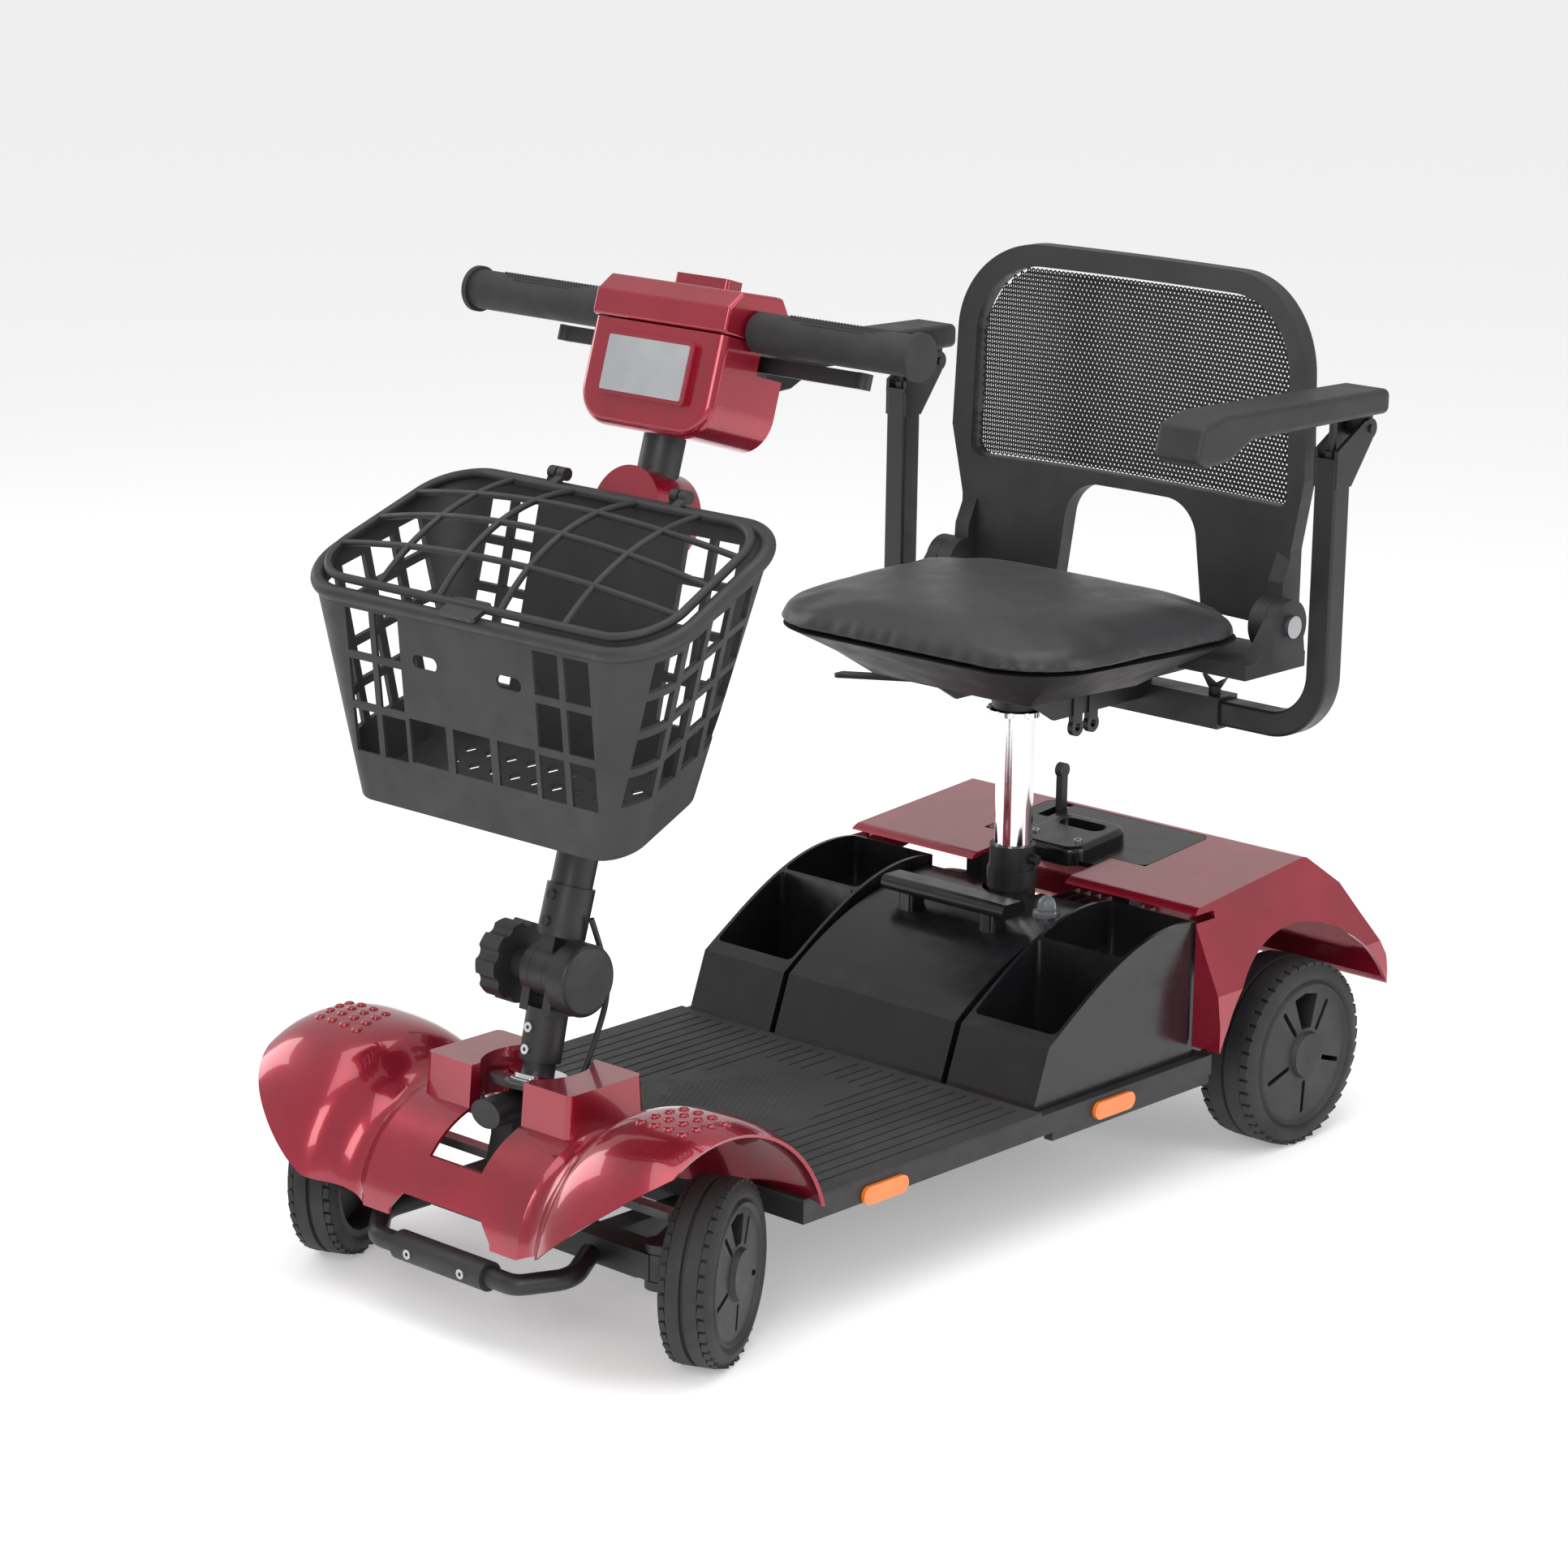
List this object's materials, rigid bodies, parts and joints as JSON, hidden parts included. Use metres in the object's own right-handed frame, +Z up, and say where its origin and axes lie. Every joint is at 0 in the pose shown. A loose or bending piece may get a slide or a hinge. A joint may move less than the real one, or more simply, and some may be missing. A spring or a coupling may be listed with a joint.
{
  "type": "mobility scooter",
  "caption": "Four-wheel travel mobility scooter with tiller, lidded basket, swivel seat with mesh back and flip-up armrests.",
  "frame": {"origin": "on the ground under the middle of the overall box", "axes": "+X to the rider's left, -Y forwards, +Z up"},
  "size_m": [0.594, 1.0903, 0.9033],
  "materials": {
    "black_steel": "satin black powder coat",
    "black_abs": "semi-gloss black moulding",
    "red_cover": "glossy metallic red",
    "rubber_mat": "ribbed black rubber",
    "reflector": "orange reflector",
    "chrome": "polished chrome",
    "steel": "bare steel",
    "black_plastic": "matte black moulding",
    "clear_lens": "clear dome",
    "cast_alloy": "cast drive housing",
    "silver_badge": "brushed silver, blank",
    "grip_rubber": "stippled rubber",
    "tyre_rubber": "solid tyre",
    "cushion_vinyl": "black vinyl",
    "mesh_fabric": "open black mesh"
  },
  "bodies": {
    "chassis": {"chassis_frame": "black_steel", "floor_pan": "black_plastic", "floor_mat": "rubber_mat", "floor_reflectors": "reflector", "front_cover": "red_cover", "bumper_bar": "black_steel", "bumper_sleeve": "black_plastic", "cover_screws": "steel", "rear_cover": "red_cover", "rear_cover_insert": "black_abs", "storage_tray_left": "black_abs", "storage_tray_right": "black_abs", "seat_post_socket": "black_steel", "drive_unit": "cast_alloy", "motor_controller": "cast_alloy"},
    "battery": {"battery_pack": "black_abs", "battery_lamp": "clear_lens"},
    "freewheel_lever": {"freewheel_lever": "black_plastic"},
    "steering": {"steering_column": "black_steel", "column_hardware": "chrome", "tiller_cable": "black_plastic"},
    "clutch_knob": {"clutch_knob": "black_plastic"},
    "tiller": {"tiller_tube": "black_steel", "tiller_shroud": "red_cover", "head_lower": "red_cover", "head_upper": "red_cover", "badge_plate": "silver_badge", "handlebar": "steel", "handle_grips": "grip_rubber", "control_panel": "black_plastic", "basket": "black_plastic"},
    "basket_lid": {"basket_lid": "black_plastic"},
    "throttle_lever": {"throttle_lever": "black_plastic"},
    "speed_dial": {"speed_dial": "black_plastic"},
    "horn_button": {"horn_button": "reflector"},
    "key_switch": {"key_switch": "steel"},
    "knuckle_left": {"knuckle_left": "black_steel"},
    "knuckle_right": {"knuckle_right": "black_steel"},
    "tie_rod": {"tie_rod": "steel"},
    "front_wheel_left": {"front_rim_left": "black_plastic", "front_tyre_left": "tyre_rubber"},
    "front_wheel_right": {"front_rim_right": "black_plastic", "front_tyre_right": "tyre_rubber"},
    "rear_wheel_left": {"rear_rim_left": "black_plastic", "rear_tyre_left": "tyre_rubber"},
    "rear_wheel_right": {"rear_rim_right": "black_plastic", "rear_tyre_right": "tyre_rubber"},
    "seat_post": {"seat_post": "chrome"},
    "seat": {"seat_bracket": "black_steel", "seat_shell": "black_plastic", "seat_cushion": "cushion_vinyl", "backrest_bolts": "steel", "armrest_knobs": "black_plastic"},
    "seat_lever": {"seat_lever": "black_plastic"},
    "backrest": {"backrest_frame": "black_plastic", "backrest_mesh": "mesh_fabric"},
    "armrest_left": {"armrest_tube_left": "black_steel"},
    "armrest_right": {"armrest_tube_right": "black_steel"},
    "armrest_pad_left": {"armrest_pad_left": "black_plastic"},
    "armrest_pad_right": {"armrest_pad_right": "black_plastic"}
  },
  "joints": [
    {"name": "tiller_steer", "type": "hinge", "parent": "chassis", "child": "steering", "pos_m": [0, -0.394, 0.21], "axis": [0, 0.2079, 0.9781], "range_deg": [-54, 6]},
    {"name": "knuckle_left_turn", "type": "hinge", "parent": "chassis", "child": "knuckle_left", "pos_m": [0.171, -0.412, 0.083], "axis": [0, 0, 1], "range_deg": [-54, 6]},
    {"name": "knuckle_right_turn", "type": "hinge", "parent": "chassis", "child": "knuckle_right", "pos_m": [-0.171, -0.412, 0.083], "axis": [0, 0, 1], "range_deg": [-54, 6]},
    {"name": "tie_rod_swing", "type": "hinge", "parent": "knuckle_left", "child": "tie_rod", "pos_m": [0.1527, -0.37089, 0.11], "axis": [0, 0, 1], "range_deg": [-6, 54]},
    {"name": "front_wheel_left_spin", "type": "hinge", "parent": "knuckle_left", "child": "front_wheel_left", "pos_m": [0.21485, -0.39248, 0.083], "axis": [0.9135, 0.4067, 0], "continuous": true},
    {"name": "front_wheel_right_spin", "type": "hinge", "parent": "knuckle_right", "child": "front_wheel_right", "pos_m": [-0.21485, -0.43152, 0.083], "axis": [0.9135, 0.4067, 0], "continuous": true},
    {"name": "rear_wheel_left_spin", "type": "hinge", "parent": "chassis", "child": "rear_wheel_left", "pos_m": [0.211, 0.431, 0.094], "axis": [1, 0, 0], "continuous": true},
    {"name": "rear_wheel_right_spin", "type": "hinge", "parent": "chassis", "child": "rear_wheel_right", "pos_m": [-0.211, 0.431, 0.094], "axis": [1, 0, 0], "continuous": true},
    {"name": "tiller_fold", "type": "hinge", "parent": "steering", "child": "tiller", "pos_m": [0, -0.37444, 0.302], "axis": [1, 0, 0], "range_deg": [-5, 12]},
    {"name": "clutch_knob_turn", "type": "hinge", "parent": "steering", "child": "clutch_knob", "pos_m": [-0.05, -0.37444, 0.302], "axis": [1, 0, 0], "range_deg": [-180, 180]},
    {"name": "basket_lid_open", "type": "hinge", "parent": "tiller", "child": "basket_lid", "pos_m": [0, -0.293, 0.729], "axis": [-1, 0, 0], "range_deg": [0, 95]},
    {"name": "throttle_pivot", "type": "hinge", "parent": "tiller", "child": "throttle_lever", "pos_m": [0, -0.1806, 0.82967], "axis": [0, 0.284, 0.9588], "range_deg": [-12, 12], "stiffness_Nm_per_rad": 1.2},
    {"name": "speed_dial_turn", "type": "hinge", "parent": "tiller", "child": "speed_dial", "pos_m": [0, -0.16373, 0.869], "axis": [0, 0.9005, 0.4348], "range_deg": [-135, 135]},
    {"name": "key_turn", "type": "hinge", "parent": "tiller", "child": "key_switch", "pos_m": [-0.04, -0.16373, 0.869], "axis": [0, 0.9005, 0.4348], "range_deg": [0, 90]},
    {"name": "horn_press", "type": "slide", "parent": "tiller", "child": "horn_button", "axis": [0, -0.9005, -0.4348], "range_m": [0, 0.002], "stiffness_N_per_m": 600},
    {"name": "battery_lift", "type": "slide", "parent": "chassis", "child": "battery", "axis": [0, 0, 1], "range_m": [0, 0.12]},
    {"name": "freewheel_turn", "type": "hinge", "parent": "chassis", "child": "freewheel_lever", "pos_m": [-0.078, 0.433, 0.262], "axis": [1, 0, 0], "range_deg": [-20, 25]},
    {"name": "seat_height", "type": "slide", "parent": "chassis", "child": "seat_post", "axis": [0, 0, 1], "range_m": [0, 0.06]},
    {"name": "seat_swivel", "type": "hinge", "parent": "seat_post", "child": "seat", "pos_m": [0, 0.261, 0.44], "axis": [0, 0, 1], "range_deg": [-90, 90]},
    {"name": "seat_lever_pull", "type": "hinge", "parent": "seat", "child": "seat_lever", "pos_m": [-0.072, 0.257, 0.446], "axis": [0, 1, 0], "range_deg": [0, 8], "stiffness_Nm_per_rad": 2, "springref_deg": -11.46},
    {"name": "backrest_fold", "type": "hinge", "parent": "seat", "child": "backrest", "pos_m": [0, 0.403, 0.53], "axis": [1, 0, 0], "range_deg": [0, 70]},
    {"name": "armrest_left_slide", "type": "slide", "parent": "seat", "child": "armrest_left", "axis": [1, 0, 0], "range_m": [0, 0.05]},
    {"name": "armrest_right_slide", "type": "slide", "parent": "seat", "child": "armrest_right", "axis": [-1, 0, 0], "range_m": [0, 0.05]},
    {"name": "armrest_left_flip", "type": "hinge", "parent": "armrest_left", "child": "armrest_pad_left", "pos_m": [0.27, 0.433, 0.728], "axis": [-1, 0, 0], "range_deg": [0, 90]},
    {"name": "armrest_right_flip", "type": "hinge", "parent": "armrest_right", "child": "armrest_pad_right", "pos_m": [-0.27, 0.433, 0.728], "axis": [-1, 0, 0], "range_deg": [0, 90]}
  ],
  "couplings": [
    {"joint": "knuckle_left_turn", "follows": "tiller_steer", "ratio": 1},
    {"joint": "knuckle_right_turn", "follows": "tiller_steer", "ratio": 1},
    {"joint": "tie_rod_swing", "follows": "tiller_steer", "ratio": -1}
  ]
}
